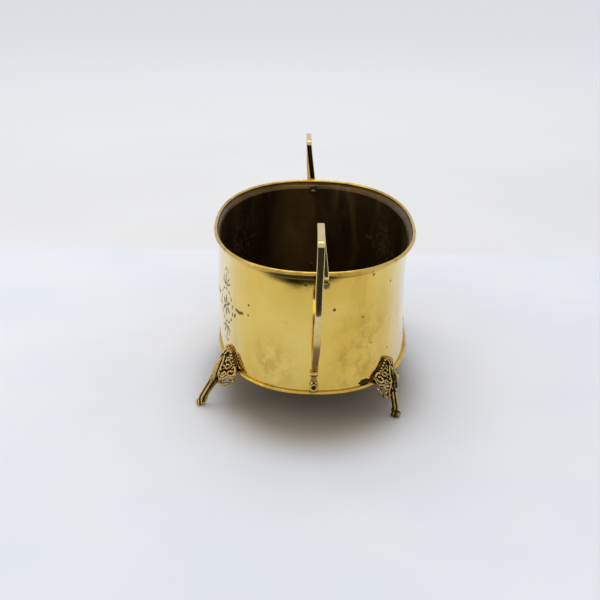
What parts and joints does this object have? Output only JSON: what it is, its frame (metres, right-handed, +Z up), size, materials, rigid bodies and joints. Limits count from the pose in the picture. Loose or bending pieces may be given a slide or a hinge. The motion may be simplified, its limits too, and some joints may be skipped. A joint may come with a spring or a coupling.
{
  "type": "planter pot",
  "caption": "Oval sheet brass planter pot on cast scroll bracket feet, with a rolled rim and tall angular strap handles at its ends.",
  "frame": {"origin": "on the surface that the feet stand on, at the middle of the pot", "axes": "+Z up; Y along the pot from handle to handle, -Y to the handle nearest in the picture; X across the pot"},
  "size_m": [0.1737, 0.314, 0.1579],
  "materials": {
    "sheet_brass": "polished sheet with light tarnish outside, dark brown patina inside",
    "rim_brass": "polished, worn bright along the top",
    "strap_brass": "polished flat strap with softened edges",
    "cast_brass": "cast relief, bright on the high points and black-brown in the hollows",
    "rivet_brass": "hammered and tarnished",
    "soft_solder": "dark tarnished solder"
  },
  "bodies": {
    "root": {"base_bead": "rim_brass", "floor_plate": "sheet_brass", "foot_front_left": "cast_brass", "foot_front_right": "cast_brass", "foot_rear_left": "cast_brass", "foot_rear_right": "cast_brass", "handle_far": "strap_brass", "handle_near": "strap_brass", "lower_rivet_far": "rivet_brass", "lower_rivet_near": "rivet_brass", "rim_bead": "rim_brass", "rivet_tab_far": "rivet_brass", "rivet_tab_near": "rivet_brass", "solder_front_left": "soft_solder", "solder_front_right": "soft_solder", "solder_rear_left": "soft_solder", "solder_rear_right": "soft_solder", "upper_rivet_far": "rivet_brass", "upper_rivet_near": "rivet_brass", "wall_band": "sheet_brass"}
  },
  "joints": []
}
